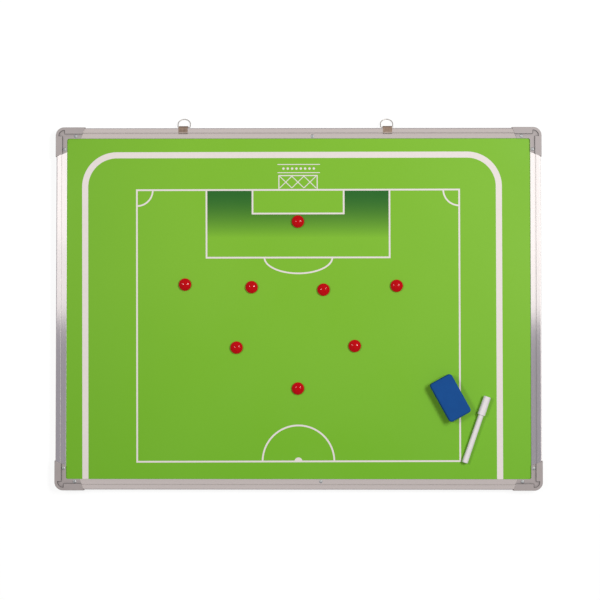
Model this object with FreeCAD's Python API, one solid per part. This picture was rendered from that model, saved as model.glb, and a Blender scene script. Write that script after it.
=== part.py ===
import FreeCAD, Part
import math
import os

os.makedirs("parts", exist_ok=True)

# A framed magnetic football tactics board on its back, with eight magnets, an eraser and a marker.
# Millimetres. The board's face looks along +Z, its top edge is at +Y and its back rests on z = 0.

# Frame rails: u runs inwards from a rail's outer side, z from its back.
board_width = 600.0
board_height = 447.3
rail_depth = 14.0
rail_face = 13.2
bead_width = 6.4
bead_rise = 1.4
bead_outer_radius = 1.6
bead_inner_radius = 0.5
lip_thickness = 1.2
lip_edge_radius = 0.5
back_lip_width = 11.5
lip_root = 1.4
rail_wall = 1.2
rail_setback = 13.0

# Panel in the rails' channel.
panel_gap = 0.4
film_thickness = 0.2
sheet_thickness = 0.4
back_sheet_thickness = 0.3

# Corner caps.
cap_wall = 0.7
cap_gap = 0.1
cap_end_gap = 0.2
cap_leg = 36.5
cap_slant = 6.0
cap_corner_radius = 10.5
cap_inner_radius = 2.6
cap_edge_radius = 0.6
cap_pocket_rim = 3.4
cap_pocket_side = 11.4
cap_groove_width = 0.7
cap_groove_depth = 0.4
tongue_length = 16.0
tongue_gap = 0.15

# Screws.
screw_head_radius = 2.2
screw_head_height = 1.1
screw_shank_radius = 1.1
screw_shank_length = 7.0
screw_clearance = 0.15
screw_pilot_clearance = 0.03
screw_slot_length = 2.4
screw_slot_width = 0.5
screw_slot_depth = 0.5
corner_screw_along_x = 24.0
corner_screw_along_y = 26.5
top_screw_x = 17.4
bottom_screw_x = 27.7

# Hanger straps and their rings.
strap_width = 11.5
strap_thickness = 0.6
strap_gap = 0.15
strap_hook = 1.0
strap_bend_radius = 0.5
hanger_left_x = -143.0
hanger_right_x = 110.4
ring_wire_radius = 0.7
ring_clearance = 0.1
ring_rail_gap = 1.0
ring_floor_gap = 0.05
ring_half_width = 7.6
ring_reach = 12.4
ring_bend_radius = 1.0
ring_pivot_height = 7.0
ring_shift = 0.8

# Magnets, with the places of their centres on the face.
face_gap = 0.05
magnet_radius = 7.7
magnet_skirt = 2.3
magnet_height = 5.2
magnet_edge_radius = 0.6
magnet_foot_chamfer = 0.3
disc_radius = 5.0
disc_height = 3.0
disc_gap = 0.05
magnet_places = [
    (-0.5, 107.4),
    (-140.2, 29.4),
    (121.5, 27.8),
    (-57.8, 26.2),
    (31.1, 23.1),
    (69.6, -46.5),
    (-76.4, -48.5),
    (-0.5, -99.0),
]

# Eraser.
eraser_x = 186.7
eraser_y = -110.3
eraser_turn = -61.0
eraser_length = 53.4
eraser_width = 30.2
eraser_corner_radius = 4.0
eraser_body_height = 12.2
eraser_top_radius = 2.2
eraser_felt_height = 3.4
eraser_felt_inset = 0.4

# Marker: t runs from its tail to the end of its cap, at rest on the face.
marker_x = 218.7
marker_y = -149.5
marker_turn = 71.0
marker_gap = 0.2
marker_length = 86.0
marker_cap_length = 23.6
marker_cap_radius = 4.8
marker_cap_taper = 0.35
marker_cap_end = 3.0
marker_cap_edge_radius = 0.6
marker_barrel_radius = 3.6
marker_barrel_taper = 0.3
marker_barrel_wall = 1.1
marker_neck_radius = 3.0
marker_neck_length = 8.0
marker_neck_gap = 0.08
marker_cone_length = 4.0
marker_cone_radius = 2.0
marker_nib_radius = 1.2
marker_nib_reach = 4.5
marker_nib_seat = 3.0
marker_fit_gap = 0.05
marker_plug_radius = 3.7
marker_plug_length = 8.0
marker_plug_spigot = 4.0
marker_plug_edge_radius = 1.2

half_width = board_width / 2
half_height = board_height / 2
lip_top = rail_depth - bead_rise
face_z = lip_top - lip_thickness
strap_space = strap_thickness + 2 * strap_gap
groove_u = bead_width - lip_root
groove_top = strap_space + strap_hook + strap_gap
chamber_low = groove_top + rail_wall
chamber_high = rail_depth - rail_wall
chamber_out = rail_wall
chamber_in = bead_width - rail_wall
lip_middle = (bead_width + cap_gap + cap_wall + rail_face) / 2


def box(x0, x1, y0, y1, z0, z1):
    """A block between two corners."""
    return Part.makeBox(x1 - x0, y1 - y0, z1 - z0, FreeCAD.Vector(x0, y0, z0))


def rod(radius, low, high, x=0.0, y=0.0):
    """An upright cylinder."""
    return Part.makeCylinder(radius, high - low, FreeCAD.Vector(x, y, low))


def quarter(centre, radius, start):
    """A quarter circle in the plane z = 0, counted from the angle start in degrees."""
    points = []
    for turn in (start, start + 45.0, start + 90.0):
        a = math.radians(turn)
        offset = FreeCAD.Vector(radius * math.cos(a), radius * math.sin(a), 0)
        points.append(centre + offset)
    return points


def outline(steps):
    """A closed wire through points and three-point arcs, in their order."""
    edges = []
    first = steps[0][0] if isinstance(steps[0], list) else steps[0]
    at = None
    for step in steps + [first]:
        start = step[0] if isinstance(step, list) else step
        if at is not None and at.distanceToPoint(start) > 1e-7:
            edges.append(Part.makeLine(at, start))
        at = start
        if isinstance(step, list):
            edges.append(Part.Arc(*step).toShape())
            at = step[2]
    return Part.Wire(edges)


def prism(steps, low, high):
    """An outline in the plane z = 0, filled and raised from low to high."""
    solid = Part.Face(outline(steps)).extrude(FreeCAD.Vector(0, 0, high - low))
    return solid.translated(FreeCAD.Vector(0, 0, low))


def turned(steps):
    """A solid of revolution about Z: the steps give radius as x and height as y."""
    face = Part.Face(outline(steps))
    face.rotate(FreeCAD.Vector(0, 0, 0), FreeCAD.Vector(1, 0, 0), 90)
    return face.revolve(FreeCAD.Vector(0, 0, 0), FreeCAD.Vector(0, 0, 1), 360)


def point(x, y):
    return FreeCAD.Vector(x, y, 0)


def rounded_block(length, width, radius, low, high):
    """A block with upright edges rounded to the radius, centred on Z."""
    a, b, r = length / 2, width / 2, radius
    return prism(
        [
            quarter(point(a - r, b - r), r, 0),
            quarter(point(r - a, b - r), r, 90),
            quarter(point(r - a, r - b), r, 180),
            quarter(point(a - r, r - b), r, 270),
        ],
        low,
        high,
    )


def save(name, shape):
    shape.exportStep("parts/" + name + ".step")


def pan_screw(x, y, seat, tip):
    """A small pan-head screw whose head sits at the height seat and whose shank ends at tip."""
    rim = screw_head_height * 0.4
    top = seat + screw_head_height
    bulge = FreeCAD.Vector(screw_head_radius * 0.72, seat + screw_head_height * 0.83, 0)
    dome = [point(screw_head_radius, seat + rim), bulge, point(0, top)]
    body = turned([point(0, seat), point(screw_head_radius, seat), dome])
    body = body.fuse(rod(screw_shank_radius, tip, seat)).removeSplitter()
    a, b = screw_slot_length / 2, screw_slot_width / 2
    low = top - screw_slot_depth
    cross = box(-a, a, -b, b, low, top + 1).fuse(box(-b, b, -a, a, low, top + 1))
    return body.cut(cross).translated(FreeCAD.Vector(x, y, 0))


# Screw places: two on each corner's flange, one on the top rail's lip and one on the bottom rail's.
corner_places = []
for side_x in (-1, 1):
    for side_y in (-1, 1):
        along_x = half_width - corner_screw_along_x
        along_y = half_height - corner_screw_along_y
        corner_places.append((side_x * along_x, side_y * (half_height - lip_middle)))
        corner_places.append((side_x * (half_width - lip_middle), side_y * along_y))
rail_places = [
    (top_screw_x, half_height - lip_middle),
    (bottom_screw_x, lip_middle - half_height),
]
corner_seat = lip_top + cap_gap + cap_wall
screw_tip = corner_seat - screw_shank_length


def screw_holes(clearance, low, high):
    """The holes that every screw needs between two heights."""
    holes = []
    for x, y in corner_places + rail_places:
        holes.append(rod(screw_shank_radius + clearance, low, high, x, y))
    return Part.makeCompound(holes)


lip_holes = screw_holes(screw_clearance, face_z - 1, corner_seat + 1)
save(
    "corner_screws",
    Part.makeCompound([pan_screw(x, y, corner_seat, screw_tip) for x, y in corner_places]),
)
save(
    "rail_screws",
    Part.makeCompound([pan_screw(x, y, lip_top, screw_tip) for x, y in rail_places]),
)


# Rails: one hollow section with a front bead, a lip over the face, a back lip and a hook groove.
def rail_blank(length):
    """A rail along X, centred, whose outer side is the plane y = 0 and whose inside is towards -Y."""
    ro, ri, rl = bead_outer_radius, bead_inner_radius, lip_edge_radius
    section = [
        point(0, strap_space),
        quarter(point(ro, rail_depth - ro), ro, 90)[::-1],
        quarter(point(bead_width - ri, rail_depth - ri), ri, 0)[::-1],
        point(bead_width, lip_top),
        quarter(point(rail_face - rl, lip_top - rl), rl, 0)[::-1],
        point(rail_face, face_z),
        point(bead_width, face_z),
        point(bead_width, lip_thickness),
        point(back_lip_width, lip_thickness),
        point(back_lip_width, 0),
        point(groove_u, 0),
        point(groove_u, groove_top),
        point(groove_u - strap_space, groove_top),
        point(groove_u - strap_space, strap_space),
    ]
    chamber = [
        point(chamber_out, chamber_low),
        point(chamber_in, chamber_low),
        point(chamber_in, chamber_high),
        point(chamber_out, chamber_high),
    ]
    face = Part.Face(outline(section)).cut(Part.Face(outline(chamber)))
    solid = face.extrude(FreeCAD.Vector(0, 0, length))
    # The section's x becomes -Y, its y becomes Z and its length lies along X.
    turn = FreeCAD.Matrix(0, 0, -1, length / 2, -1, 0, 0, 0, 0, 1, 0, 0, 0, 0, 0, 1)
    solid.Placement = FreeCAD.Placement(turn)
    return solid


up = FreeCAD.Vector(0, 0, 1)
centre = FreeCAD.Vector(0, 0, 0)
long_rail = rail_blank(board_width - 2 * rail_setback)
short_rail = rail_blank(board_height - 2 * rail_setback)
top_rail = long_rail.translated(FreeCAD.Vector(0, half_height, 0))
right_rail = short_rail.rotated(centre, up, -90).translated(FreeCAD.Vector(half_width, 0, 0))
save("frame_rail_top", top_rail.cut(lip_holes))
save("frame_rail_bottom", top_rail.rotated(centre, up, 180).cut(lip_holes))
save("frame_rail_right", right_rail.cut(lip_holes))
save("frame_rail_left", right_rail.rotated(centre, up, 180).cut(lip_holes))


# Panel: film, steel, core and back sheet, one over the other between the rails' lips.
panel_x = half_width - bead_width - panel_gap
panel_y = half_height - bead_width - panel_gap
film_low = face_z - film_thickness
sheet_low = film_low - sheet_thickness
core_low = lip_thickness + back_sheet_thickness
layer_holes = screw_holes(screw_pilot_clearance, screw_tip, face_z + 1)
layers = {
    "printed_film": (film_low, face_z),
    "steel_sheet": (sheet_low, film_low),
    "panel_core": (core_low, sheet_low),
    "back_sheet": (lip_thickness, core_low),
}
for name, (low, high) in layers.items():
    save(name, box(-panel_x, panel_x, -panel_y, panel_y, low, high).cut(layer_holes))


# Corner caps: an L-shaped sleeve over two rails' ends with a tongue into each rail's chamber.
def corner_cap():
    """The cap of the top right corner, with the rails' outer corner at the origin."""
    out = cap_gap + cap_wall
    high = rail_depth + out
    ro, ri = cap_corner_radius, cap_inner_radius
    leg = out - cap_leg
    short = leg + cap_slant
    footprint = [
        point(leg, out),
        quarter(point(out - ro, out - ro), ro, 0)[::-1],
        point(out, leg),
        point(-rail_face, short),
        quarter(point(-rail_face - ri, -rail_face - ri), ri, 0),
        point(short, -rail_face),
    ]
    cap = prism(footprint, 0, high)
    rim_edges = []
    for edge in cap.Edges:
        middle = edge.valueAt((edge.FirstParameter + edge.LastParameter) / 2)
        outer = max(middle.x, middle.y) > out - ro * 0.3
        if abs(middle.z - high) < 1e-6 and outer:
            rim_edges.append(edge)
    cap = cap.makeFillet(cap_edge_radius, rim_edges)
    far = -2 * cap_leg

    def flange(inset, low):
        """The room above the sunk flange, drawn in all round; it bulges out towards the corner."""
        bulge = rod(ro - cap_pocket_rim - inset, low, high + 1, out - ro, out - ro)
        side = out - cap_pocket_side + inset
        bulge = bulge.common(box(side, out, side, out, low, high + 1))
        inner = -(bead_width + out) - inset
        return box(far, inner, far, inner, low, high + 1).fuse(bulge)

    # The flange, with a groove along the foot of the rim.
    sunk = lip_top + out
    cap = cap.cut(flange(0, sunk))
    foot = sunk - cap_groove_depth
    cap = cap.cut(flange(0, foot).cut(flange(cap_groove_width, foot - 1)))
    # Room for each rail's end and for the panel's corner.
    start = cap_end_gap - rail_setback
    bead_in = -(bead_width + cap_gap)
    root = cap_gap - groove_u
    low = strap_space - cap_gap
    for swap in (False, True):
        bead = box(far, start, bead_in, cap_gap, low, rail_depth + cap_gap)
        lips = box(far, start, far, root, -1, lip_top + cap_gap)
        room = bead.fuse(lips)
        if swap:
            room = room.mirror(FreeCAD.Vector(0, 0, 0), FreeCAD.Vector(1, -1, 0))
        cap = cap.cut(room)
    edge_in = cap_gap - bead_width - panel_gap
    cap = cap.cut(box(far, edge_in, far, edge_in, lip_thickness, face_z))
    tongue = box(
        start - tongue_length,
        start,
        tongue_gap - chamber_in,
        -chamber_out - tongue_gap,
        chamber_low + tongue_gap,
        chamber_high - tongue_gap,
    )
    other = tongue.mirror(FreeCAD.Vector(0, 0, 0), FreeCAD.Vector(1, -1, 0))
    cap = cap.fuse(tongue).fuse(other).removeSplitter()
    return cap.translated(FreeCAD.Vector(half_width, half_height, 0))


cap_solid = corner_cap()
left_cap = cap_solid.mirror(centre, FreeCAD.Vector(1, 0, 0))
save("corner_cap_top_right", cap_solid.cut(lip_holes))
save("corner_cap_top_left", left_cap.cut(lip_holes))
save("corner_cap_bottom_right", left_cap.rotated(centre, up, 180).cut(lip_holes))
save("corner_cap_bottom_left", cap_solid.rotated(centre, up, 180).cut(lip_holes))


# Hangers: a sheet strap hooked round the top rail's bead, with a knuckle for the ring's bar.
pivot_u = -(ring_wire_radius + ring_rail_gap)
knuckle_in = ring_wire_radius + ring_clearance
knuckle_out = knuckle_in + strap_thickness


def strap(x):
    """The strap centred on x."""
    a, b = x - strap_width / 2, x + strap_width / 2
    skin, out = -strap_gap, -strap_gap - strap_thickness
    front = rail_depth + strap_gap
    hook = bead_width + strap_gap
    hook_back = groove_u - strap_gap
    pz = ring_pivot_height
    bands = [
        (out, hook + strap_thickness, front, front + strap_thickness),
        (hook, hook + strap_thickness, lip_top + strap_gap, front),
        (out, skin, pz + knuckle_in, front),
        (pivot_u, skin, pz + knuckle_in, pz + knuckle_out),
        (pivot_u, skin, pz - knuckle_out, pz - knuckle_in),
        (out, skin, strap_gap, pz - knuckle_in),
        (out, hook_back, strap_gap, strap_gap + strap_thickness),
        (hook_back - strap_thickness, hook_back, strap_gap, strap_space + strap_hook),
    ]
    axis = FreeCAD.Vector(1, 0, 0)
    foot = FreeCAD.Vector(a, half_height - pivot_u, pz)
    knuckle = Part.makeCylinder(knuckle_out, strap_width, foot, axis)
    knuckle = knuckle.cut(Part.makeCylinder(knuckle_in, strap_width, foot, axis))
    y = half_height - pivot_u
    solid = knuckle.common(box(a, b, y, y + knuckle_out, 0, rail_depth))
    for u0, u1, z0, z1 in bands:
        solid = solid.fuse(box(a, b, half_height - u1, half_height - u0, z0, z1))
    solid = solid.removeSplitter()
    bends = [
        (out, front + strap_thickness),
        (hook + strap_thickness, front + strap_thickness),
        (out, strap_gap),
    ]
    chosen = []
    for edge in solid.Edges:
        mid = edge.CenterOfMass
        for u, z in bends:
            if abs(mid.y - half_height + u) < 1e-6 and abs(mid.z - z) < 1e-6:
                chosen.append(edge)
    return solid.makeFillet(strap_bend_radius, chosen)


def ring(x):
    """The ring whose middle is at x, swung down till its round end lies on the floor."""
    w, r, b = ring_half_width, ring_reach, ring_bend_radius
    side = r - w
    path = outline(
        [
            point(0, 0),
            quarter(point(w - b, b), b, 270),
            [point(w, side), point(0, r), point(-w, side)],
            quarter(point(b - w, b), b, 180),
        ]
    )
    wire = Part.makeCircle(ring_wire_radius, centre, FreeCAD.Vector(1, 0, 0))
    solid = path.makePipeShell([Part.Wire(wire)], True, False)
    droop = math.degrees(math.asin((ring_pivot_height - ring_wire_radius - ring_floor_gap) / r))
    solid.rotate(centre, FreeCAD.Vector(1, 0, 0), -droop)
    return solid.translated(FreeCAD.Vector(x, half_height - pivot_u, ring_pivot_height))


for name, x, shift in (("left", hanger_left_x, ring_shift), ("right", hanger_right_x, -ring_shift)):
    save("hanger_strap_" + name, strap(x))
    save("hanger_ring_" + name, ring(x + shift))


# Player magnets: a glossy dome with a ferrite disc let into its foot.
seat_z = face_z + face_gap
chamfer = magnet_foot_chamfer
crown = magnet_height - magnet_skirt
sphere = (magnet_radius**2 + crown**2) / (2 * crown)
half_turn = math.asin(magnet_radius / sphere) / 2
over = sphere * math.cos(half_turn) - sphere + magnet_height
shoulder = [
    point(magnet_radius, magnet_skirt),
    point(sphere * math.sin(half_turn), over),
    point(0, magnet_height),
]
pocket_radius = disc_radius + disc_gap
dome = turned(
    [
        point(pocket_radius, 0),
        point(magnet_radius - chamfer, 0),
        point(magnet_radius, chamfer),
        shoulder,
        point(0, disc_height + disc_gap),
        point(pocket_radius, disc_height + disc_gap),
    ]
)
rim = [e for e in dome.Edges if abs(e.CenterOfMass.z - magnet_skirt) < 1e-6]
dome = dome.makeFillet(magnet_edge_radius, rim)
disc = rod(disc_radius, 0, disc_height)
for number, (x, y) in enumerate(magnet_places, 1):
    place = FreeCAD.Vector(x, y, seat_z)
    save("player_magnet_cap_%d" % number, dome.translated(place))
    save("player_magnet_disc_%d" % number, disc.translated(place))


# Eraser: a foam block on a felt pad.
felt_top = seat_z + eraser_felt_height
felt = rounded_block(
    eraser_length - 2 * eraser_felt_inset,
    eraser_width - 2 * eraser_felt_inset,
    eraser_corner_radius - eraser_felt_inset,
    seat_z,
    felt_top,
)
block_top = felt_top + eraser_body_height
block = rounded_block(eraser_length, eraser_width, eraser_corner_radius, felt_top, block_top)
top_edges = [e for e in block.Edges if abs(e.CenterOfMass.z - block_top) < 1e-6]
block = block.makeFillet(eraser_top_radius, top_edges)
eraser_place = FreeCAD.Vector(eraser_x, eraser_y, 0)
save("eraser_felt", felt.rotated(centre, up, eraser_turn).translated(eraser_place))
save("eraser_body", block.rotated(centre, up, eraser_turn).translated(eraser_place))


# Marker: barrel, reservoir, nib, end plug and cap, all turned about one axis.
shoulder_t = marker_length - marker_cap_length
neck_t = shoulder_t + marker_neck_length
cone_t = neck_t + marker_cone_length
nib_t = cone_t + marker_nib_reach
bore = marker_barrel_radius - marker_barrel_wall
plug_t = marker_plug_length
spigot_t = plug_t + marker_plug_spigot
nib_hole = marker_nib_radius + marker_fit_gap
wick_end = neck_t - marker_nib_seat
barrel = turned(
    [
        point(bore, plug_t),
        point(marker_barrel_radius, plug_t),
        point(marker_barrel_radius - marker_barrel_taper, shoulder_t),
        point(marker_neck_radius, shoulder_t),
        point(marker_neck_radius, neck_t),
        point(marker_cone_radius, cone_t),
        point(nib_hole, cone_t),
        point(nib_hole, wick_end),
        point(bore, wick_end),
    ]
)
pr, pe = marker_plug_radius, marker_plug_edge_radius
plug = turned(
    [
        point(0, 0),
        quarter(point(pr - pe, pe), pe, 270),
        point(pr, plug_t),
        point(bore - marker_fit_gap, plug_t),
        point(bore - marker_fit_gap, spigot_t),
        point(0, spigot_t),
    ]
)
wick = rod(bore - marker_fit_gap, spigot_t, wick_end)
tip = marker_nib_radius
nib = turned(
    [
        point(0, wick_end),
        point(tip, wick_end),
        quarter(point(0, nib_t - tip), tip, 0),
    ]
)
mouth = marker_neck_radius + marker_neck_gap
cr, ce = marker_cap_radius, marker_cap_edge_radius
narrow = cr - marker_cap_taper
cap_floor = marker_length - marker_cap_end
cover = turned(
    [
        point(mouth, shoulder_t),
        point(cr, shoulder_t),
        quarter(point(narrow - ce, marker_length - ce), ce, 0),
        point(0, marker_length),
        point(0, cap_floor),
        point(mouth, cap_floor),
    ]
)
# It rests on the rim of its cap and on the end plug, so its axis rises towards the cap.
rise = math.atan((marker_cap_radius - marker_plug_radius) / (shoulder_t - marker_plug_edge_radius))
pieces = {
    "marker_barrel": barrel,
    "marker_end_plug": plug,
    "marker_reservoir": wick,
    "marker_nib": nib,
    "marker_cap": cover,
}
axis_y = FreeCAD.Vector(0, 1, 0)
lift = face_z + marker_gap + marker_cap_radius * math.cos(rise)
lift = lift - (shoulder_t - marker_length / 2) * math.sin(rise)
for name, piece in pieces.items():
    piece = piece.translated(FreeCAD.Vector(0, 0, -marker_length / 2))
    piece = piece.rotated(centre, axis_y, 90 - math.degrees(rise))
    piece = piece.rotated(centre, up, marker_turn)
    save(name, piece.translated(FreeCAD.Vector(marker_x, marker_y, lift)))
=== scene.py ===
import math

import bmesh
import bpy
import numpy as np
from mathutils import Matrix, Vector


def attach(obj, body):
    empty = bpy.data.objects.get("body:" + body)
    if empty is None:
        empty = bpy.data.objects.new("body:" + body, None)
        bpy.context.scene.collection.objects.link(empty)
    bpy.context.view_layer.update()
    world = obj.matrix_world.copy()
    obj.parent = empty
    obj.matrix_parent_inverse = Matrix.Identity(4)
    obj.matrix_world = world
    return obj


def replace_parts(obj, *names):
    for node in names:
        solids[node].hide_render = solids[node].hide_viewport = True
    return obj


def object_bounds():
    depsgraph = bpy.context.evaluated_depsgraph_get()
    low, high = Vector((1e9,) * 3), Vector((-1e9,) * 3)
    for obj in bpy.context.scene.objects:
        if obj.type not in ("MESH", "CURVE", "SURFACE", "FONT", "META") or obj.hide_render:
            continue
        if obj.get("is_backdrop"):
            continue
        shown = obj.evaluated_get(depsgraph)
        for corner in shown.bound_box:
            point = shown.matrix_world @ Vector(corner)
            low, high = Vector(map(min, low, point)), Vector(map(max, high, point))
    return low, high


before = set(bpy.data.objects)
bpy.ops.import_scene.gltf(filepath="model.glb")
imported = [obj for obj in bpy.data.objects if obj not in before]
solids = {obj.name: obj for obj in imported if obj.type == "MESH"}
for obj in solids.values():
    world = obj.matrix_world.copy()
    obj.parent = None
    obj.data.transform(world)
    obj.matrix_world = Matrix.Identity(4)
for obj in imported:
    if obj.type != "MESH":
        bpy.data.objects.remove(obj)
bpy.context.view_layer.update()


# Studio: the board lies flat on a pale floor and the camera looks almost straight down on it.
# A softbox at either side lights all but the rails. Sheets over the head and foot light the end
# rails, and panels light the side rails, where the panels' near edge ends the bright reflection.
def fit(tree, kind, inputs=(), **settings):
    """Adds one node; inputs maps its sockets to values or to the sockets that feed them."""
    made = tree.nodes.new("ShaderNode" + kind)
    for key, value in settings.items():
        setattr(made, key, value)
    for key, value in dict(inputs).items():
        if isinstance(value, bpy.types.NodeSocket):
            tree.links.new(value, made.inputs[key])
        else:
            made.inputs[key].default_value = value
    return made


def calc(tree, operation, *values):
    """The output of one Math node over the values."""
    return fit(tree, "Math", dict(enumerate(values)), operation=operation).outputs[0]


def mix(tree, share, low, high):
    """A colour between low and high by the share."""
    made = fit(tree, "Mix", {0: share, 6: low, 7: high}, data_type="RGBA")
    return made.outputs[2]


def bare(name):
    """A new material with an empty tree."""
    made = bpy.data.materials.new(name)
    made.use_nodes = True
    made.node_tree.nodes.clear()
    return made


eye = bpy.data.cameras.new("studio_camera")
eye.lens = 96.5
eye.sensor_width = 36.0
camera = bpy.data.objects.new("studio_camera", eye)
camera.location = (0.01805, -0.04232, 2.0)
camera.rotation_euler = (math.radians(1.516), math.radians(0.462), 0.0)
bpy.context.collection.objects.link(camera)
bpy.context.scene.camera = camera
bpy.context.scene.view_settings.view_transform = "Standard"

# Each lamp's name, place, size and watts. Each is turned to the board's middle line.
lamps = (
    ("softbox_right", (1.05, 0.43, 1.86), (0.45, 0.82), 30.0),
    ("softbox_left", (-1.0, 0.29, 1.88), (0.4, 0.54), 14.2),
    ("sheet_head", (0.0, 1.0, 1.88), (1.6, 2.0), 4.75),
    ("sheet_foot", (0.0, -0.92, 1.88), (1.6, 2.0), 3.65),
    ("panel_right_side", (1.9, 0.1, 0.9), (1.2, 1.2), 7.5),
    ("panel_right_high", (0.8, 0.46, 1.88), (1.8, 0.58), 4.15),
    ("panel_right_low", (0.8, 0.092, 1.88), (1.8, 0.156), 1.03),
    ("panel_left_high", (-0.7, 0.475, 1.88), (1.4, 0.55), 3.0),
    ("panel_left_low", (-0.7, 0.107, 1.88), (1.4, 0.186), 0.79),
)
tints = {"softbox": (1.0, 1.0, 1.0), "sheet": (1.0, 0.915, 0.74), "panel": (1.0, 1.0, 0.96)}
lit_by = {kind: bpy.data.collections.new("lit_by_" + kind) for kind in tints}
for rail, own in (("top", "sheet"), ("bottom", "sheet"), ("left", "panel"), ("right", "panel")):
    lit_by[own].objects.link(solids["frame_rail_" + rail])
    lit_by["softbox"].objects.link(solids["frame_rail_" + rail])
for entry in lit_by["softbox"].collection_objects:
    entry.light_linking.link_state = "EXCLUDE"
for name, at, size, power in lamps:
    lamp = bpy.data.lights.new(name, "AREA")
    lamp.shape = "RECTANGLE"
    lamp.size, lamp.size_y = size
    lamp.energy = power
    stand = bpy.data.objects.new(name, lamp)
    stand.location = at
    stand.rotation_euler = (0.0, math.atan2(at[0], at[2]), 0.0)
    stand.visible_camera = False
    kind = name.split("_")[0]
    lamp.color = tints[kind]
    stand.light_linking.receiver_collection = lit_by[kind]
    bpy.context.collection.objects.link(stand)

room = bpy.data.worlds.new("studio_room")
room.use_nodes = True
tree = room.node_tree
tree.nodes.clear()
rays = fit(tree, "LightPath").outputs
room_level, extra_in_gloss = 0.205, 0.2
level = calc(tree, "MULTIPLY_ADD", rays["Is Glossy Ray"], extra_in_gloss, room_level)
shown = calc(tree, "MAXIMUM", rays["Is Camera Ray"], rays["Is Transmission Ray"])
level = calc(tree, "MAXIMUM", level, shown)
walls = mix(tree, rays["Is Glossy Ray"], (1.0, 0.985, 0.975, 1.0), (0.96, 0.96, 1.11, 1.0))
glow = fit(tree, "Background", {"Color": walls, "Strength": level})
fit(tree, "OutputWorld", {"Surface": glow.outputs[0]})
bpy.context.scene.world = room

paper = bare("floor_paper")
tree = paper.node_tree
rays = fit(tree, "LightPath").outputs
shown = calc(tree, "MAXIMUM", rays["Is Camera Ray"], rays["Is Glossy Ray"])
shown = calc(tree, "MAXIMUM", shown, rays["Is Transmission Ray"])
matt = fit(tree, "BsdfDiffuse", {"Color": (0.15, 0.15, 0.15, 1.0)})
paper_glow = 0.88
lit = fit(tree, "Emission", {"Strength": calc(tree, "MULTIPLY", shown, paper_glow)})
both = fit(tree, "AddShader", {0: matt.outputs[0], 1: lit.outputs[0]})
fit(tree, "OutputMaterial", {"Surface": both.outputs[0]})
reach, drop = 8.0, -0.0003
sheet = bpy.data.meshes.new("floor")
corners = [(x * reach, y * reach, drop) for x, y in ((-1, -1), (1, -1), (1, 1), (-1, 1))]
sheet.from_pydata(corners, [], [(0, 1, 2, 3)])
sheet.materials.append(paper)
floor = bpy.data.objects.new("floor", sheet)
bpy.context.collection.objects.link(floor)
floor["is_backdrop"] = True


# Printed film: a green sheet under a clear satin skin, stuck to the steel behind it. The penalty
# area is printed darker, fading down from the goal line, and wiping leaves haze and hairlines.
def dress(material, *names):
    """Puts a material into every slot of the named solids."""
    for name in names:
        for slot in solids[name].material_slots:
            slot.material = material


def spread(tree, value, low, high, start=0.0, end=1.0):
    """A value carried from the range start to end over to the range low to high, and held there."""
    bounds = {"From Min": start, "From Max": end, "To Min": low, "To Max": high}
    return fit(tree, "MapRange", {"Value": value, **bounds}).outputs[0]


def scaled(tree, x=1.0, y=1.0, z=1.0, turn=0.0):
    """Object coordinates, turned about Z and then scaled along each axis."""
    at = fit(tree, "TexCoord").outputs["Object"]
    at = fit(tree, "VectorRotate", {"Vector": at, "Angle": turn}, rotation_type="Z_AXIS").outputs[0]
    return fit(tree, "VectorMath", {0: at, 1: (x, y, z)}, operation="MULTIPLY").outputs[0]


def cloud(tree, at, scale=1.0, detail=3.0):
    """A soft noise value over a place."""
    return fit(tree, "TexNoise", {"Vector": at, "Scale": scale, "Detail": detail}).outputs[0]


def relief(tree, height, depth, strength=1.0):
    """The normal of a surface raised by a height map, depth in metres."""
    made = fit(tree, "Bump", {"Height": height, "Distance": depth, "Strength": strength})
    return made.outputs[0]


def shade(tree, **sockets):
    """Ends a material in one Principled shader; an underscore stands for a socket name's space."""
    inputs = {key.replace("_", " "): value for key, value in sockets.items()}
    skin = fit(tree, "BsdfPrincipled", inputs)
    fit(tree, "OutputMaterial", {"Surface": skin.outputs[0]})


def effect(name, inputs, outputs):
    """A new node group: its tree, the sockets of its inputs and the node that takes its outputs."""
    made = bpy.data.node_groups.new(name, "ShaderNodeTree")
    for key, value in inputs.items():
        socket = made.interface.new_socket(key, in_out="INPUT", socket_type="NodeSocketFloat")
        socket.default_value = value
    for key in outputs:
        made.interface.new_socket(key, in_out="OUTPUT", socket_type="NodeSocketFloat")
    return made, made.nodes.new("NodeGroupInput").outputs, made.nodes.new("NodeGroupOutput").inputs


wiping, given, taken = effect("wiping", {"Patch": 9.0, "Line": 700.0}, ("Haze", "Hairline"))
at = fit(wiping, "TexCoord").outputs["Object"]
patch = {"Vector": at, "Scale": given["Patch"], "Detail": 5.0, "Distortion": 0.6}
patch = fit(wiping, "TexNoise", patch)
wiping.links.new(spread(wiping, patch.outputs[0], 0.0, 1.0, 0.35, 0.7), taken["Haze"])
strokes, stroke_stretch = [], 0.018
for turn in (0.35, 1.9):
    swept = scaled(wiping, stroke_stretch, turn=turn)
    fine = fit(wiping, "TexNoise", {"Vector": swept, "Scale": given["Line"], "Detail": 1.0})
    strokes.append(spread(wiping, fine.outputs[0], 0.0, 1.0, 0.68, 0.76))
wiping.links.new(calc(wiping, "MAXIMUM", *strokes), taken["Hairline"])

mm = 0.001
goal_line_y = 146.85
penalty_half, penalty_y = 113.3, 62.9
goal_area_half, goal_area_y = 56.45, 117.47
shade_end_y = 87.5
print_shift = -0.6

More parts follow.
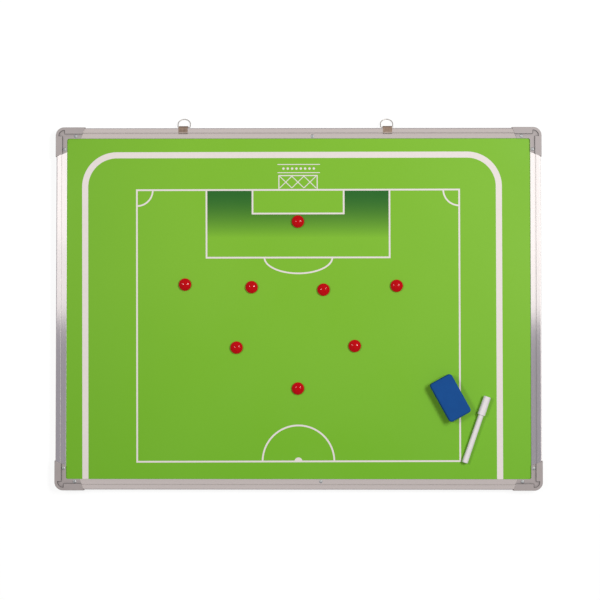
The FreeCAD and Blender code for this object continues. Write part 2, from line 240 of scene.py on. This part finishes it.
green = bare("printed_green")
tree = green.node_tree
at = fit(tree, "SeparateXYZ", {0: fit(tree, "TexCoord").outputs["Object"]}).outputs
off = calc(tree, "ABSOLUTE", calc(tree, "SUBTRACT", at["X"], print_shift * mm))
faded = spread(tree, at["Y"], 0.0, 1.0, goal_line_y * mm, shade_end_y * mm)
dark = calc(tree, "SUBTRACT", 1.0, calc(tree, "MULTIPLY", faded, faded))
inside = calc(tree, "LESS_THAN", off, penalty_half * mm)
inside = calc(tree, "MULTIPLY", inside, calc(tree, "LESS_THAN", at["Y"], goal_line_y * mm))
clear = calc(tree, "LESS_THAN", off, goal_area_half * mm)
clear = calc(tree, "MULTIPLY", clear, calc(tree, "GREATER_THAN", at["Y"], goal_area_y * mm))
dark = calc(tree, "MULTIPLY", dark, calc(tree, "SUBTRACT", inside, clear))
worn = fit(tree, "Group", node_tree=wiping).outputs
tone = cloud(tree, scaled(tree), 5.0, 2.0)
field = mix(tree, tone, (0.184, 0.458, 0.014, 1.0), (0.206, 0.488, 0.019, 1.0))
# Painted shade: the green is darkened towards the bottom and towards the left, where less light
# falls.
painted_light_falloff = spread(tree, at["Y"], 0.0, 0.7, 0.04, -0.2)
field = mix(tree, painted_light_falloff, field, (0.15, 0.441, 0.013, 1.0))
painted_light_falloff = spread(tree, at["X"], 0.0, 0.5, -0.13, -0.28)
field = mix(tree, painted_light_falloff, field, (0.143, 0.4, 0.003, 1.0))
dots = cloud(tree, scaled(tree), 1100.0, 1.0)
field = mix(tree, spread(tree, dots, 0.0, 0.16, 0.4, 0.7), field, (0.158, 0.416, 0.012, 1.0))
field = mix(tree, dark, field, (0.005, 0.115, 0.004, 1.0))
field = mix(tree, calc(tree, "MULTIPLY", worn["Haze"], 0.02), field, (0.4, 0.55, 0.25, 1.0))
gloss = spread(tree, calc(tree, "MAXIMUM", worn["Haze"], worn["Hairline"]), 0.45, 0.56)
peel = cloud(tree, scaled(tree), 260.0, 2.0)
shade(
    tree,
    Base_Color=field,
    Roughness=gloss,
    Specular_IOR_Level=0.22,
    Normal=relief(tree, peel, 0.00002, 0.6),
    Coat_Weight=0.1,
    Coat_Roughness=0.18,
)
dress(green, "printed_film")


# Pitch print: the white markings of half a pitch with the goal's net, a wide track line with
# rounded corners, and a row of dots between two rules. It is screened on in one thin coat.
def surface(name, grids, smooth=True):
    """One mesh over several grids of points: quads join each grid's neighbours, and points that
    meet are merged."""
    points, quads, count = [], [], 0
    for grid in grids:
        rows, cols = grid.shape[:2]
        index = np.arange(rows * cols).reshape(rows, cols) + count
        corners = (index[:-1, :-1], index[:-1, 1:], index[1:, 1:], index[1:, :-1])
        quads.append(np.stack(corners, axis=-1).reshape(-1, 4))
        points.append(grid.reshape(-1, 3))
        count += rows * cols
    mesh = bpy.data.meshes.new(name)
    mesh.from_pydata(np.vstack(points) * mm, [], np.vstack(quads))
    work = bmesh.new()
    work.from_mesh(mesh)
    bmesh.ops.remove_doubles(work, verts=work.verts, dist=1e-7)
    work.to_mesh(mesh)
    work.free()
    mesh.polygons.foreach_set("use_smooth", np.full(len(mesh.polygons), smooth))
    piece = bpy.data.objects.new(name, mesh)
    bpy.context.collection.objects.link(piece)
    return piece


skew_x, skew_y = -0.0028, 0.002
pull_x, pull_y = 6.1e-6, -3.7e-6


def laid(flat):
    """Where a printed point comes to lie: the sheet is set on a sixth of a degree askew and is
    stretched a little unevenly, so each shift grows with the other coordinate and with their
    product."""
    x, y = flat[..., 0], flat[..., 1]
    return np.stack([x + skew_x * y + pull_x * x * y, y + skew_y * x + pull_y * x * y], axis=-1)


face_z, ink_edge = 11.4, 0.06
full_coat, thin_coat, first_coat = 0.02, 0.016, 0.012


def inked(path, width, coat=full_coat):
    """A printed line: a low flat ridge carried along a path. Each point's edges lie half a width
    out along the bisector of its two runs, lengthened so that the width holds round a corner. Of
    two lines that cross, one has a thinner coat and runs through under the other."""
    path = np.asarray(path, float)
    runs = np.diff(path, axis=0)
    runs = runs / np.linalg.norm(runs, axis=1, keepdims=True)
    before, after = np.vstack([runs[:1], runs]), np.vstack([runs, runs[-1:]])
    square = before[:, ::-1] * (-1, 1)
    across = (before + after)[:, ::-1] * (-1, 1)
    across = across / np.sum(across * square, axis=1, keepdims=True)
    half = width / 2
    steps = np.array([half, half - ink_edge, ink_edge - half, -half])
    high = face_z + np.array([0.0, coat, coat, 0.0])
    flat = laid(path[:, None] + across[:, None] * steps[:, None])
    grid = np.concatenate([flat, np.broadcast_to(high, flat.shape[:2])[..., None]], axis=2)
    ends = grid[[0, -1]] * (1, 1, 0) + (0, 0, face_z)
    return np.concatenate([ends[:1], grid, ends[1:]])


def arc(x, y, width, height, start, end, count=49):
    """Points of an ellipse from one angle to another, in degrees."""
    turn = np.radians(np.linspace(start, end, count))
    return np.stack([x + width * np.cos(turn), y + height * np.sin(turn)], axis=1)


def spot(x, y, radius, start=0.0, end=360.0, coat=full_coat):
    """A filled disc or part of one: rings that grow from its middle, the last one at the face."""
    turn = np.radians(np.linspace(start, end, 33))
    ring = np.array([0.0, radius - ink_edge, radius])[:, None]
    flat = laid(np.stack([x + ring * np.cos(turn), y + ring * np.sin(turn)], axis=-1))
    high = face_z + np.array([coat, coat, 0.0])[:, None] + 0 * turn
    return np.concatenate([flat, high[..., None]], axis=2)


track_left, track_right, track_width = -263.85, 248.35, 7.6
track_y, track_foot, track_bend = 190.25, -212.0, 39.5
pitch_left, pitch_right, halfway_y = -199.7, 199.3, -188.9
line_width, arc_width, post_width, fine_width = 2.14, 2.0, 1.3, 1.0
corner_arc, centre_x, centre_arc, centre_spot = 19.7, -0.4, 44.3, 4.9
penalty_arc = (0.2, penalty_y, 42.0, 19.6)
track = np.vstack(
    [
        [(track_left, track_foot)],
        arc(track_left + track_bend, track_y - track_bend, track_bend, track_bend, 180, 90),
        arc(track_right - track_bend, track_y - track_bend, track_bend, track_bend, 90, 0),
        [(track_right, track_foot)],
    ]
)
foot = line_width / 2
prints = [
    inked(track, track_width),
    inked([(pitch_left, halfway_y - foot), (pitch_left, goal_line_y + foot)], line_width),
    inked([(pitch_right, halfway_y - foot), (pitch_right, goal_line_y + foot)], line_width),
    inked([(pitch_left + foot, goal_line_y), (pitch_right - foot, goal_line_y)], line_width),
    inked([(pitch_left + foot, halfway_y), (pitch_right - foot, halfway_y)], line_width),
    inked(arc(pitch_left, goal_line_y, corner_arc, corner_arc, -88, -2), arc_width, thin_coat),
    inked(arc(pitch_right, goal_line_y, corner_arc, corner_arc, -92, -178), arc_width, thin_coat),
    inked(arc(centre_x, halfway_y, centre_arc, centre_arc, 1, 179, 97), line_width, thin_coat),
    spot(centre_x, halfway_y, centre_spot, 0, 180, thin_coat),
    inked(arc(*penalty_arc, -1, -179, 65), arc_width, thin_coat),
]
boxes = ((-0.2, penalty_half, penalty_y), (0.0, goal_area_half, goal_area_y))
for middle, half, low in boxes:
    top, left, right = goal_line_y - foot, middle - half, middle + half
    prints.append(inked([(left, top), (left, low), (right, low), (right, top)], line_width))
goal_half, goal_top = 23.7, 164.6
net_left, net_right, net_foot, net_top = -22.7, 22.3, 149.2, goal_top - 0.8
top = goal_line_y + foot
posts = [(-goal_half, top), (-goal_half, goal_top), (goal_half, goal_top), (goal_half, top)]
prints.append(inked(posts, post_width))
net_edge = np.linspace(net_left, net_right, 4)
for left, right in zip(net_edge[:-1], net_edge[1:]):
    prints.append(inked([(left, net_foot), (right, net_top)], fine_width, thin_coat))
    prints.append(inked([(left, net_top), (right, net_foot)], fine_width, first_coat))
rule_left, rule_right, dot_y, dot_radius = -25.4, 27.2, 173.3, 1.5
for rule_y in (178.4, 168.2):
    prints.append(inked([(rule_left, rule_y), (rule_right, rule_y)], fine_width))
prints += [spot(x, dot_y, dot_radius) for x in np.linspace(-18.0, 19.6, 8)]
pitch_print = surface("pitch_print", prints, smooth=False)

white_ink = bare("white_ink")
tree = white_ink.node_tree
worn = fit(tree, "Group", node_tree=wiping).outputs
thin = cloud(tree, scaled(tree), 420.0, 3.0)
ink = mix(tree, thin, (0.735, 0.67, 0.64, 1.0), (0.815, 0.74, 0.71, 1.0))
ink = mix(tree, calc(tree, "MULTIPLY", worn["Haze"], 0.07), ink, (0.5, 0.56, 0.42, 1.0))
gloss = spread(tree, calc(tree, "MAXIMUM", worn["Haze"], worn["Hairline"]), 0.4, 0.52)
grit = cloud(tree, scaled(tree), 900.0, 2.0)
shade(
    tree,
    Base_Color=ink,
    Roughness=gloss,
    Specular_IOR_Level=0.3,
    Normal=relief(tree, grit, 0.00001, 0.6),
    Coat_Weight=0.1,
    Coat_Roughness=0.2,
)
pitch_print.data.materials.append(white_ink)
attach(pitch_print, "board")


# Panel behind the film: a white-coated steel sheet that the magnets hold to, a board core and
# a bare aluminium back sheet, glued to each other and held by the rails' lips.
brushing, given, taken = effect(
    "brushing", {"Along X": 900.0, "Along Y": 900.0, "Along Z": 900.0}, ("Streak", "Dull")
)
steps = fit(brushing, "CombineXYZ", {0: given["Along X"], 1: given["Along Y"], 2: given["Along Z"]})
at = fit(brushing, "TexCoord").outputs["Object"]
at = fit(brushing, "VectorMath", {0: at, 1: steps.outputs[0]}, operation="MULTIPLY").outputs[0]
brushing.links.new(cloud(brushing, at, 1.0, 4.0), taken["Streak"])
brushing.links.new(cloud(brushing, at, 0.11, 2.0), taken["Dull"])

coated = bare("coated_steel")
tree = coated.node_tree
paint = cloud(tree, scaled(tree), 30.0, 4.0)
peel = cloud(tree, scaled(tree), 700.0, 2.0)
shade(
    tree,
    Base_Color=mix(tree, paint, (0.72, 0.72, 0.71, 1.0), (0.8, 0.8, 0.79, 1.0)),
    Roughness=spread(tree, paint, 0.3, 0.45),
    Normal=relief(tree, peel, 0.00001),
)
dress(coated, "steel_sheet")

card = bare("core_board")
tree = card.node_tree
fibre = cloud(tree, scaled(tree, 120.0, 900.0, 900.0), 1.0, 5.0)
shade(
    tree,
    Base_Color=mix(tree, fibre, (0.42, 0.31, 0.2, 1.0), (0.6, 0.47, 0.32, 1.0)),
    Roughness=spread(tree, fibre, 0.8, 0.95),
    Normal=relief(tree, fibre, 0.0001),
)
dress(card, "panel_core")

mill = bare("mill_aluminium")
tree = mill.node_tree
roll = fit(tree, "Group", {"Along X": 6.0, "Along Y": 420.0}, node_tree=brushing).outputs
worn = fit(tree, "Group", {"Patch": 14.0, "Line": 500.0}, node_tree=wiping).outputs
skin = mix(tree, roll["Streak"], (0.52, 0.52, 0.53, 1.0), (0.68, 0.68, 0.68, 1.0))
skin = mix(tree, calc(tree, "MULTIPLY", worn["Haze"], 0.3), skin, (0.44, 0.44, 0.45, 1.0))
gloss = calc(tree, "MULTIPLY_ADD", worn["Hairline"], 0.15, spread(tree, roll["Dull"], 0.34, 0.46))
shade(
    tree,
    Base_Color=skin,
    Metallic=1.0,
    Roughness=gloss,
    Normal=relief(tree, roll["Streak"], 0.00001, 0.5),
)
dress(mill, "back_sheet")


# Frame rails: hollow aluminium extrusions, brushed along their length and anodised. A bead runs
# along the outer edge and a thin lip laps over the film; the edges are rubbed bright.
rubbing, given, taken = effect("rubbing", {"Width": 0.0006, "Break": 160.0}, ("Rub",))
rounded = fit(rubbing, "Bevel", {"Radius": given["Width"]}, samples=4).outputs[0]
plain = fit(rubbing, "NewGeometry").outputs["Normal"]
flat = fit(rubbing, "VectorMath", {0: rounded, 1: plain}, operation="DOT_PRODUCT").outputs["Value"]
at = fit(rubbing, "TexCoord").outputs["Object"]
patchy = fit(rubbing, "TexNoise", {"Vector": at, "Scale": given["Break"], "Detail": 3.0}).outputs[0]
broken = spread(rubbing, patchy, 0.0, 1.0, 0.35, 0.6)
edge = calc(rubbing, "MULTIPLY", spread(rubbing, flat, 1.0, 0.0, 0.8, 0.99), broken)
rubbing.links.new(edge, taken["Rub"])

# Painted shade with some grime: an ambient occlusion mask that darkens the colour in steps, grooves
# and recesses, where shade falls.
recess_grime_and_shade, given, taken = effect("recess_grime_and_shade", {"Reach": 0.0015}, ("GrimeAndShade",))
hollow = fit(recess_grime_and_shade, "AmbientOcclusion", {"Distance": given["Reach"]}, samples=8, only_local=True)
recess_grime_and_shade.links.new(spread(recess_grime_and_shade, hollow.outputs["AO"], 1.0, 0.0, 0.6, 1.0), taken["GrimeAndShade"])


def brushed_rail(along, *names):
    """Anodised aluminium brushed along one axis of the board, on the named rails. The brushing
    spreads most of the light across its lines; the rest spreads evenly."""
    shine = 0.8
    made = bare("brushed_along_" + along.lower())
    tree = made.node_tree
    steps = {"Along X": 2500.0, "Along Y": 2500.0, "Along Z": 2500.0, "Along " + along: 1.2}
    lines = fit(tree, "Group", steps, node_tree=brushing).outputs
    rub = fit(tree, "Group", node_tree=rubbing).outputs["Rub"]
    grime_and_recess_shade = fit(tree, "Group", {"Reach": 0.0012}, node_tree=recess_grime_and_shade).outputs["GrimeAndShade"]
    metal = mix(tree, lines["Streak"], (0.655, 0.606, 0.587, 1.0), (0.775, 0.719, 0.696, 1.0))
    dull = spread(tree, lines["Dull"], 0.0, 0.3, 0.45, 0.75)
    metal = mix(tree, dull, metal, (0.64, 0.592, 0.573, 1.0))
    # Painted shade with some grime: the rail's steps and grooves are darkened by the occlusion
    # mask.
    metal = mix(tree, calc(tree, "MULTIPLY", grime_and_recess_shade, 0.16), metal, (0.42, 0.38, 0.367, 1.0))
    metal = mix(tree, calc(tree, "MULTIPLY", rub, 0.6), metal, (0.87, 0.83, 0.81, 1.0))
    scored = relief(tree, lines["Streak"], 0.000002, 0.3)
    across = fit(tree, "Tangent", direction_type="RADIAL", axis=along).outputs[0]
    even = {"Base Color": metal, "Metallic": 1.0, "Normal": scored}
    lined = {**even, "Anisotropic": 1.0, "Tangent": across}
    even["Roughness"] = spread(tree, lines["Dull"], 0.55, 0.65)
    lined["Roughness"] = spread(tree, lines["Dull"], 0.15, 0.19)
    matt = fit(tree, "BsdfPrincipled", even)
    bright = fit(tree, "BsdfPrincipled", lined)
    both = fit(tree, "MixShader", {0: shine, 1: matt.outputs[0], 2: bright.outputs[0]})
    fit(tree, "OutputMaterial", {"Surface": both.outputs[0]})
    dress(made, *names)


brushed_rail("X", "frame_rail_top", "frame_rail_bottom")
brushed_rail("Y", "frame_rail_left", "frame_rail_right")


# Corner caps: grey satin mouldings pushed over the rails' ends, each with a raised rim and a sunk
# flange. The mould's fine spark grain shows, and the rim is rubbed paler where it is handled.
moulding, given, taken = effect("moulding", {"Grain": 2600.0, "Flow": 45.0}, ("Grain", "Flow"))
at = fit(moulding, "TexCoord").outputs["Object"]
spark = fit(moulding, "TexNoise", {"Vector": at, "Scale": given["Grain"], "Detail": 2.0}).outputs[0]
swirl = {"Vector": at, "Scale": given["Flow"], "Detail": 3.0, "Distortion": 1.2}
moulding.links.new(spark, taken["Grain"])
moulding.links.new(fit(moulding, "TexNoise", swirl).outputs[0], taken["Flow"])

grey = bare("corner_grey")
tree = grey.node_tree
cast = fit(tree, "Group", node_tree=moulding).outputs
rub = fit(tree, "Group", {"Width": 0.0007, "Break": 220.0}, node_tree=rubbing).outputs["Rub"]
grime_and_recess_shade = fit(tree, "Group", {"Reach": 0.004}, node_tree=recess_grime_and_shade).outputs["GrimeAndShade"]
body = mix(tree, cast["Flow"], (0.335, 0.29, 0.281, 1.0), (0.403, 0.352, 0.343, 1.0))
body = mix(tree, spread(tree, cast["Grain"], 0.0, 0.35, 0.45, 0.75), body, (0.3, 0.27, 0.26, 1.0))
body = mix(tree, calc(tree, "MULTIPLY", rub, 0.5), body, (0.6, 0.56, 0.55, 1.0))
# Painted shade with some grime: a soft dark band on the sunk flange at the foot of the rim, from
# the occlusion mask.
body = mix(tree, calc(tree, "MULTIPLY", grime_and_recess_shade, 0.55), body, (0.05, 0.042, 0.04, 1.0))
shade(
    tree,
    Base_Color=body,
    Roughness=spread(tree, cast["Flow"], 0.38, 0.52),
    Normal=relief(tree, cast["Grain"], 0.00002, 0.5),
)
caps = [name for name in solids if name.startswith("corner_cap_")]
dress(grey, *caps)


# Screws: small nickel-plated pan heads with a cross recess, two through each corner flange and
# one through the lip of the top and bottom rails.
nickel = bare("nickel_plate")
tree = nickel.node_tree
turned = {"Along X": 2200.0, "Along Y": 2200.0, "Along Z": 300.0}
turned = fit(tree, "Group", turned, node_tree=brushing).outputs
rub = fit(tree, "Group", {"Width": 0.0003, "Break": 900.0}, node_tree=rubbing).outputs["Rub"]
grime_and_recess_shade = fit(tree, "Group", {"Reach": 0.0006}, node_tree=recess_grime_and_shade).outputs["GrimeAndShade"]
plate = mix(tree, turned["Dull"], (0.44, 0.445, 0.43, 1.0), (0.56, 0.565, 0.54, 1.0))
plate = mix(tree, calc(tree, "MULTIPLY", rub, 0.5), plate, (0.68, 0.67, 0.65, 1.0))
# Painted shade with some grime: the cross recess and the head's foot are darkened by the occlusion
# mask.
plate = mix(tree, calc(tree, "MULTIPLY", grime_and_recess_shade, 0.65), plate, (0.12, 0.11, 0.1, 1.0))
shade(
    tree,
    Base_Color=plate,
    Metallic=1.0,
    Roughness=spread(tree, turned["Streak"], 0.52, 0.64),
    Normal=relief(tree, turned["Streak"], 0.00001, 0.4),
)
dress(nickel, "corner_screws", "rail_screws")


# Hangers: a strip of bronze-plated sheet bent round the top rail, its knuckle rolled over the
# straight bar of a nickel-plated wire ring that swings in it.
bronze = bare("dull_bronze")
tree = bronze.node_tree
rolled = {"Along X": 1400.0, "Along Y": 60.0, "Along Z": 60.0}
rolled = fit(tree, "Group", rolled, node_tree=brushing).outputs
rub = fit(tree, "Group", {"Width": 0.0004, "Break": 500.0}, node_tree=rubbing).outputs["Rub"]
tarnish = cloud(tree, scaled(tree), 280.0, 5.0)
plate = mix(tree, rolled["Streak"], (0.215, 0.15, 0.11, 1.0), (0.29, 0.212, 0.158, 1.0))
plate = mix(tree, spread(tree, tarnish, 0.0, 0.6, 0.45, 0.75), plate, (0.14, 0.1, 0.078, 1.0))
plate = mix(tree, calc(tree, "MULTIPLY", rub, 0.7), plate, (0.42, 0.34, 0.27, 1.0))
at = fit(tree, "SeparateXYZ", {0: fit(tree, "TexCoord").outputs["Object"]}).outputs
# Painted sheen: the strap's lower end, where it bends down over the bead, is lightened as if it
# caught more light.
painted_hook_sheen = spread(tree, at["Y"], 0.0, 0.4, 0.2188, 0.2176)
plate = mix(tree, painted_hook_sheen, plate, (0.45, 0.4, 0.37, 1.0))
shade(
    tree,
    Base_Color=plate,
    Metallic=1.0,
    Roughness=spread(tree, tarnish, 0.52, 0.68),
    Normal=relief(tree, rolled["Streak"], 0.00002, 0.5),
)
dress(bronze, "hanger_strap_left", "hanger_strap_right")

wire = bare("nickel_wire")
tree = wire.node_tree
drawn = {"Along X": 1500.0, "Along Y": 1500.0, "Along Z": 1500.0}
drawn = fit(tree, "Group", drawn, node_tree=brushing).outputs
skin = mix(tree, drawn["Dull"], (0.5, 0.47, 0.43, 1.0), (0.66, 0.63, 0.58, 1.0))
shade(
    tree,
    Base_Color=skin,
    Metallic=1.0,
    Roughness=spread(tree, drawn["Streak"], 0.4, 0.54),
    Normal=relief(tree, drawn["Streak"], 0.00001, 0.5),
)
dress(wire, "hanger_ring_left", "hanger_ring_right")


# Player magnets: glossy red moulded domes with a black ferrite disc pressed into the foot.
# Handling leaves a light haze and a few hairlines on the gloss.
red = bare("magnet_red_gloss")
tree = red.node_tree
cast = fit(tree, "Group", {"Grain": 1800.0, "Flow": 160.0}, node_tree=moulding).outputs
worn = fit(tree, "Group", {"Patch": 220.0, "Line": 4000.0}, node_tree=wiping).outputs
rub = fit(tree, "Group", {"Width": 0.0004, "Break": 600.0}, node_tree=rubbing).outputs["Rub"]
dye = mix(tree, cast["Flow"], (0.44, 0.0005, 0.002, 1.0), (0.56, 0.001, 0.004, 1.0))
dye = mix(tree, calc(tree, "MULTIPLY", rub, 0.2), dye, (0.68, 0.03, 0.03, 1.0))
gloss = spread(tree, worn["Haze"], 0.08, 0.14)
gloss = calc(tree, "MULTIPLY_ADD", worn["Hairline"], 0.1, gloss)
shade(
    tree,
    Base_Color=dye,
    Roughness=gloss,
    Specular_IOR_Level=0.16,
    Normal=relief(tree, cast["Grain"], 0.000004, 0.4),
)
ferrite = bare("black_ferrite")
tree = ferrite.node_tree
pits = fit(tree, "TexVoronoi", {"Vector": scaled(tree), "Scale": 1800.0}).outputs["Distance"]
grind = fit(tree, "Group", {"Along X": 90.0, "Along Y": 2400.0}, node_tree=brushing).outputs
shade(
    tree,
    Base_Color=mix(tree, grind["Streak"], (0.03, 0.03, 0.033, 1.0), (0.085, 0.083, 0.085, 1.0)),
    Roughness=spread(tree, pits, 0.5, 0.75),
    Normal=relief(tree, pits, 0.00003, 0.5),
)
for number in range(1, 9):
    dress(red, "player_magnet_cap_%d" % number)
    dress(ferrite, "player_magnet_disc_%d" % number)


# Eraser: a block of blue closed-cell foam with softened edges and a slight crown, glued to a
# dark pad of pressed felt that does the wiping.
eraser_at, eraser_turn = (186.7, -110.3), math.radians(-61.0)
eraser_half, eraser_corner = (26.7, 15.1), 4.0
eraser_low, eraser_joint, eraser_top = 11.45, 14.85, 27.05


def padded_block(inset, height, swell):
    """A block whose section is carried round a rounded rectangle. A point of the rectangle is a
    corner circle's centre plus its radius along the outward direction; an inset first shrinks that
    radius and then draws the centres in, until they meet in a line. The heights rise by the swell
    at the middle."""
    turns, centres = [], []
    signs = np.array([(1, 1), (-1, 1), (-1, -1), (1, -1), (1, 1)], float)
    for quarter in range(4):
        turns.append(np.radians(90.0 * quarter + np.linspace(0, 90, 13)))
        centres.append(np.repeat(signs[quarter : quarter + 1], 13, axis=0))
        share = np.linspace(0, 1, 27)[1:-1, None]
        turns.append(np.full(25, math.radians(90.0 * quarter + 90.0)))
        centres.append(signs[quarter] * (1 - share) + signs[quarter + 1] * share)
    turn = np.append(np.concatenate(turns), 0.0)
    centre = np.vstack(centres + [signs[:1]])
    inset, height = np.asarray(inset)[:, None], np.asarray(height)[:, None]
    drawn = np.maximum(inset - eraser_corner, 0.0)
    radius = np.maximum(eraser_corner - inset, 0.0)
    a = centre[:, 0] * (eraser_half[0] - eraser_corner - drawn) + radius * np.cos(turn)
    b = centre[:, 1] * (eraser_half[1] - eraser_corner - drawn) + radius * np.sin(turn)
    bow = (1 - (a / eraser_half[0]) ** 2) * (1 - (b / eraser_half[1]) ** 2)
    c = height + swell[:, None] * bow
    x = eraser_at[0] + a * math.cos(eraser_turn) - b * math.sin(eraser_turn)
    y = eraser_at[1] + a * math.sin(eraser_turn) + b * math.cos(eraser_turn)
    return np.stack([x, y, c], axis=-1)


crown, edge_round, edge_inset = 0.5, 2.1, 2.2
shoulder_z = eraser_top - crown - edge_round
edge = np.radians(np.linspace(0, 90, 9))
across = np.linspace(edge_inset, eraser_half[1], 14)
under = np.linspace(eraser_half[1], 0.6, 8)
side_height = np.linspace(eraser_joint + 0.35, shoulder_z, 9)
waist = 0.15 + 0.25 * np.sin(np.pi * np.linspace(0, 1, 9)) ** 2
block_inset = np.concatenate([under, [0.3], waist, edge_inset - 2.05 * np.cos(edge), across[1:]])
block_high = np.concatenate(
    [
        np.full(8, eraser_joint),
        [eraser_joint + 0.08],
        side_height,
        shoulder_z + edge_round * np.sin(edge),
        np.full(13, eraser_top - crown),
    ]
)
block_swell = np.concatenate([np.zeros(18), np.linspace(0, crown, 9), np.full(13, crown)])
eraser_block = surface("eraser_block", [padded_block(block_inset, block_high, block_swell)])

foam = bare("blue_foam")
tree = foam.node_tree
cells = fit(tree, "TexVoronoi", {"Vector": scaled(tree), "Scale": 1500.0}).outputs["Distance"]
soil = cloud(tree, scaled(tree), 90.0, 4.0)
rub = fit(tree, "Group", {"Width": 0.0016, "Break": 320.0}, node_tree=rubbing).outputs["Rub"]
body = mix(tree, soil, (0.006, 0.062, 0.24, 1.0), (0.01, 0.08, 0.29, 1.0))
body = mix(tree, spread(tree, cells, 0.3, 0.0, 0.0, 0.4), body, (0.004, 0.045, 0.2, 1.0))
body = mix(tree, calc(tree, "MULTIPLY", rub, 0.3), body, (0.03, 0.13, 0.4, 1.0))
shade(
    tree,
    Base_Color=body,
    Roughness=spread(tree, soil, 0.68, 0.85),
    Specular_IOR_Level=0.1,
    Normal=relief(tree, cells, 0.00012, 0.5),
)
eraser_block.data.materials.append(foam)
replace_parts(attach(eraser_block, "eraser"), "eraser_body")

wavy = 0.42 + 0.12 * np.sin(np.linspace(0, 9 * np.pi, 13))
pad_inset = np.concatenate([under, [0.45], wavy, [0.7], under[::-1]])
pad_high = np.concatenate(
    [
        np.full(8, eraser_low),
        [eraser_low + 0.15],
        np.linspace(eraser_low + 0.35, eraser_joint - 0.3, 13),
        [eraser_joint - 0.08],
        np.full(8, eraser_joint - 0.01),
    ]
)
eraser_pad = surface("eraser_pad", [padded_block(pad_inset, pad_high, np.zeros(31))])

pressed = bare("dark_felt")
tree = pressed.node_tree
fuzz = cloud(tree, scaled(tree, z=1.6), 2400.0, 5.0)
lump = cloud(tree, scaled(tree), 350.0, 3.0)
shade(
    tree,
    Base_Color=mix(tree, fuzz, (0.022, 0.024, 0.03, 1.0), (0.075, 0.078, 0.09, 1.0)),
    Roughness=spread(tree, lump, 0.88, 0.98),
    Sheen_Weight=0.3,
    Normal=relief(tree, fuzz, 0.0002, 0.7),
)
eraser_pad.data.materials.append(pressed)
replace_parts(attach(eraser_pad, "eraser"), "eraser_felt")


# Marker: a white moulded barrel with an end plug and a wider push-on cap, all satin plastic, and
# inside it the felt nib on its ink wick. It lies on the cap's rim and the end plug.
white = bare("marker_white_satin")
tree = white.node_tree
cast = fit(tree, "Group", {"Grain": 2200.0, "Flow": 70.0}, node_tree=moulding).outputs
worn = fit(tree, "Group", {"Patch": 120.0, "Line": 2600.0}, node_tree=wiping).outputs
rub = fit(tree, "Group", {"Width": 0.0005, "Break": 400.0}, node_tree=rubbing).outputs["Rub"]
body = mix(tree, cast["Flow"], (0.76, 0.715, 0.725, 1.0), (0.82, 0.77, 0.78, 1.0))
body = mix(tree, calc(tree, "MULTIPLY", worn["Haze"], 0.12), body, (0.6, 0.58, 0.56, 1.0))
body = mix(tree, calc(tree, "MULTIPLY", rub, 0.3), body, (0.88, 0.86, 0.86, 1.0))
gloss = spread(tree, cast["Flow"], 0.34, 0.44)
gloss = calc(tree, "MULTIPLY_ADD", worn["Hairline"], 0.1, gloss)
shade(
    tree,
    Base_Color=body,
    Roughness=gloss,
    Specular_IOR_Level=0.35,
    Normal=relief(tree, cast["Grain"], 0.000008, 0.5),
)
dress(white, "marker_barrel", "marker_cap", "marker_end_plug")

marker_turn = math.radians(19.0)
wick = bare("inked_fibre")
tree = wick.node_tree
strand = cloud(tree, scaled(tree, 3000.0, 250.0, 3000.0, marker_turn), 1.0, 3.0)
shade(
    tree,
    Base_Color=mix(tree, strand, (0.012, 0.012, 0.016, 1.0), (0.06, 0.06, 0.07, 1.0)),
    Roughness=spread(tree, strand, 0.7, 0.95),
    Normal=relief(tree, strand, 0.00008, 0.6),
)
dress(wick, "marker_nib", "marker_reservoir")


# Size: the box round everything shown but the floor.
low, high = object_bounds()
